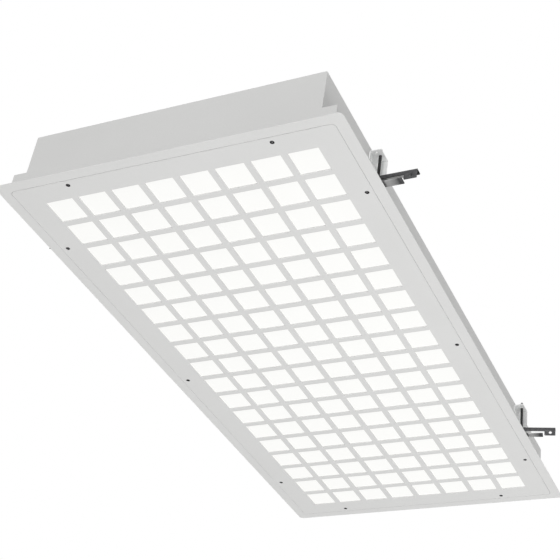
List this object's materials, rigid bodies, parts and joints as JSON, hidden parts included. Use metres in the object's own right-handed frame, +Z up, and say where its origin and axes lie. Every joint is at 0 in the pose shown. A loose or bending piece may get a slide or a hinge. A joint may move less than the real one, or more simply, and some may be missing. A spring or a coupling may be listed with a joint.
{
  "type": "recessed troffer light",
  "caption": "Rectangular recessed ceiling light: flanged shallow housing, perforated face panel over an opal diffuser, swing clamps on both long sides.",
  "frame": {"origin": "centre of the face plane, the lowest plane of the light", "axes": "+Z up into the ceiling, +Y along the light's length, +X across it"},
  "size_m": [0.6691, 1.195, 0.1116],
  "materials": {
    "painted_white": "satin powder coat",
    "housing_paint": "satin powder coat",
    "tray_paint": "gloss white reflector paint",
    "black_screw": "black oxide",
    "black_steel": "black zinc",
    "dark_steel": "blackened spring steel",
    "zinc": "zinc plated",
    "brass": "satin",
    "black_rubber": "matt",
    "opal": "opal, lit from behind",
    "white_plastic": "moulded",
    "driver_case": "moulded",
    "board_mask": "white solder mask",
    "led_phosphor": "phosphor under clear resin"
  },
  "bodies": {
    "root": {"trim_frame": "painted_white", "face_panel": "painted_white", "housing_body": "housing_paint", "shelf_left": "housing_paint", "shelf_right": "housing_paint", "rim_wall_left": "housing_paint", "rim_wall_right": "housing_paint", "end_plate_front": "housing_paint", "end_plate_rear": "housing_paint", "panel_screws": "black_screw", "panel_gasket": "black_rubber", "cable_grommet": "black_rubber", "rail_left": "zinc", "rail_right": "zinc", "rail_front": "zinc", "rail_rear": "zinc", "rivet_nuts": "zinc", "opal_diffuser": "opal", "diffuser_clips": "zinc", "clip_studs": "zinc", "clip_nuts": "zinc", "gear_tray": "tray_paint", "led_packages": "led_phosphor", "board_rivets": "white_plastic", "led_driver_front": "driver_case", "led_driver_rear": "driver_case", "driver_screws": "zinc", "terminal_block": "white_plastic", "earth_stud": "brass", "earth_nut": "brass", "blanking_plug": "white_plastic", "blind_rivets": "zinc", "led_board_1": "board_mask", "led_board_2": "board_mask", "led_board_3": "board_mask", "led_board_4": "board_mask", "led_board_5": "board_mask", "led_board_6": "board_mask", "led_board_7": "board_mask", "led_board_8": "board_mask", "clamp_bracket_right_front": "zinc", "clamp_bracket_right_rear": "zinc", "clamp_bracket_left_front": "zinc", "clamp_bracket_left_rear": "zinc"},
    "screw_right_front": {"clamp_screw_right_front": "black_steel", "stop_nut_right_front": "zinc"},
    "nut_right_front": {"clamp_nut_right_front": "zinc"},
    "arm_right_front": {"clamp_arm_right_front": "dark_steel"},
    "screw_right_rear": {"clamp_screw_right_rear": "black_steel", "stop_nut_right_rear": "zinc"},
    "nut_right_rear": {"clamp_nut_right_rear": "zinc"},
    "arm_right_rear": {"clamp_arm_right_rear": "dark_steel"},
    "screw_left_front": {"clamp_screw_left_front": "black_steel", "stop_nut_left_front": "zinc"},
    "nut_left_front": {"clamp_nut_left_front": "zinc"},
    "arm_left_front": {"clamp_arm_left_front": "dark_steel"},
    "screw_left_rear": {"clamp_screw_left_rear": "black_steel", "stop_nut_left_rear": "zinc"},
    "nut_left_rear": {"clamp_nut_left_rear": "zinc"},
    "arm_left_rear": {"clamp_arm_left_rear": "dark_steel"}
  },
  "joints": [
    {"name": "screw_turn_right_front", "type": "hinge", "parent": "root", "child": "screw_right_front", "pos_m": [0.268, -0.395, 0.07], "axis": [0, 0, 1], "range_deg": [-8100, 0]},
    {"name": "nut_lift_right_front", "type": "slide", "parent": "root", "child": "nut_right_front", "axis": [0, 0, 1], "range_m": [0, 0.018]},
    {"name": "arm_swing_right_front", "type": "hinge", "parent": "nut_right_front", "child": "arm_right_front", "pos_m": [0.268, -0.395, 0.046], "axis": [0, 0, 1], "range_deg": [-90, 15]},
    {"name": "screw_turn_right_rear", "type": "hinge", "parent": "root", "child": "screw_right_rear", "pos_m": [0.268, 0.395, 0.07], "axis": [0, 0, 1], "range_deg": [-8100, 0]},
    {"name": "nut_lift_right_rear", "type": "slide", "parent": "root", "child": "nut_right_rear", "axis": [0, 0, 1], "range_m": [0, 0.018]},
    {"name": "arm_swing_right_rear", "type": "hinge", "parent": "nut_right_rear", "child": "arm_right_rear", "pos_m": [0.268, 0.395, 0.046], "axis": [0, 0, 1], "range_deg": [-103, 2]},
    {"name": "screw_turn_left_front", "type": "hinge", "parent": "root", "child": "screw_left_front", "pos_m": [-0.268, -0.395, 0.07], "axis": [0, 0, 1], "range_deg": [-8100, 0]},
    {"name": "nut_lift_left_front", "type": "slide", "parent": "root", "child": "nut_left_front", "axis": [0, 0, 1], "range_m": [0, 0.018]},
    {"name": "arm_swing_left_front", "type": "hinge", "parent": "nut_left_front", "child": "arm_left_front", "pos_m": [-0.268, -0.395, 0.046], "axis": [0, 0, 1], "range_deg": [-95.5, 9.5]},
    {"name": "screw_turn_left_rear", "type": "hinge", "parent": "root", "child": "screw_left_rear", "pos_m": [-0.268, 0.395, 0.07], "axis": [0, 0, 1], "range_deg": [-8100, 0]},
    {"name": "nut_lift_left_rear", "type": "slide", "parent": "root", "child": "nut_left_rear", "axis": [0, 0, 1], "range_m": [0, 0.018]},
    {"name": "arm_swing_left_rear", "type": "hinge", "parent": "nut_left_rear", "child": "arm_left_rear", "pos_m": [-0.268, 0.395, 0.046], "axis": [0, 0, 1], "range_deg": [-82.5, 22.5]}
  ],
  "couplings": [
    {"joint": "screw_turn_right_front", "follows": "nut_lift_right_front", "rad_per_m": -7854},
    {"joint": "screw_turn_right_rear", "follows": "nut_lift_right_rear", "rad_per_m": -7854},
    {"joint": "screw_turn_left_front", "follows": "nut_lift_left_front", "rad_per_m": -7854},
    {"joint": "screw_turn_left_rear", "follows": "nut_lift_left_rear", "rad_per_m": -7854}
  ]
}
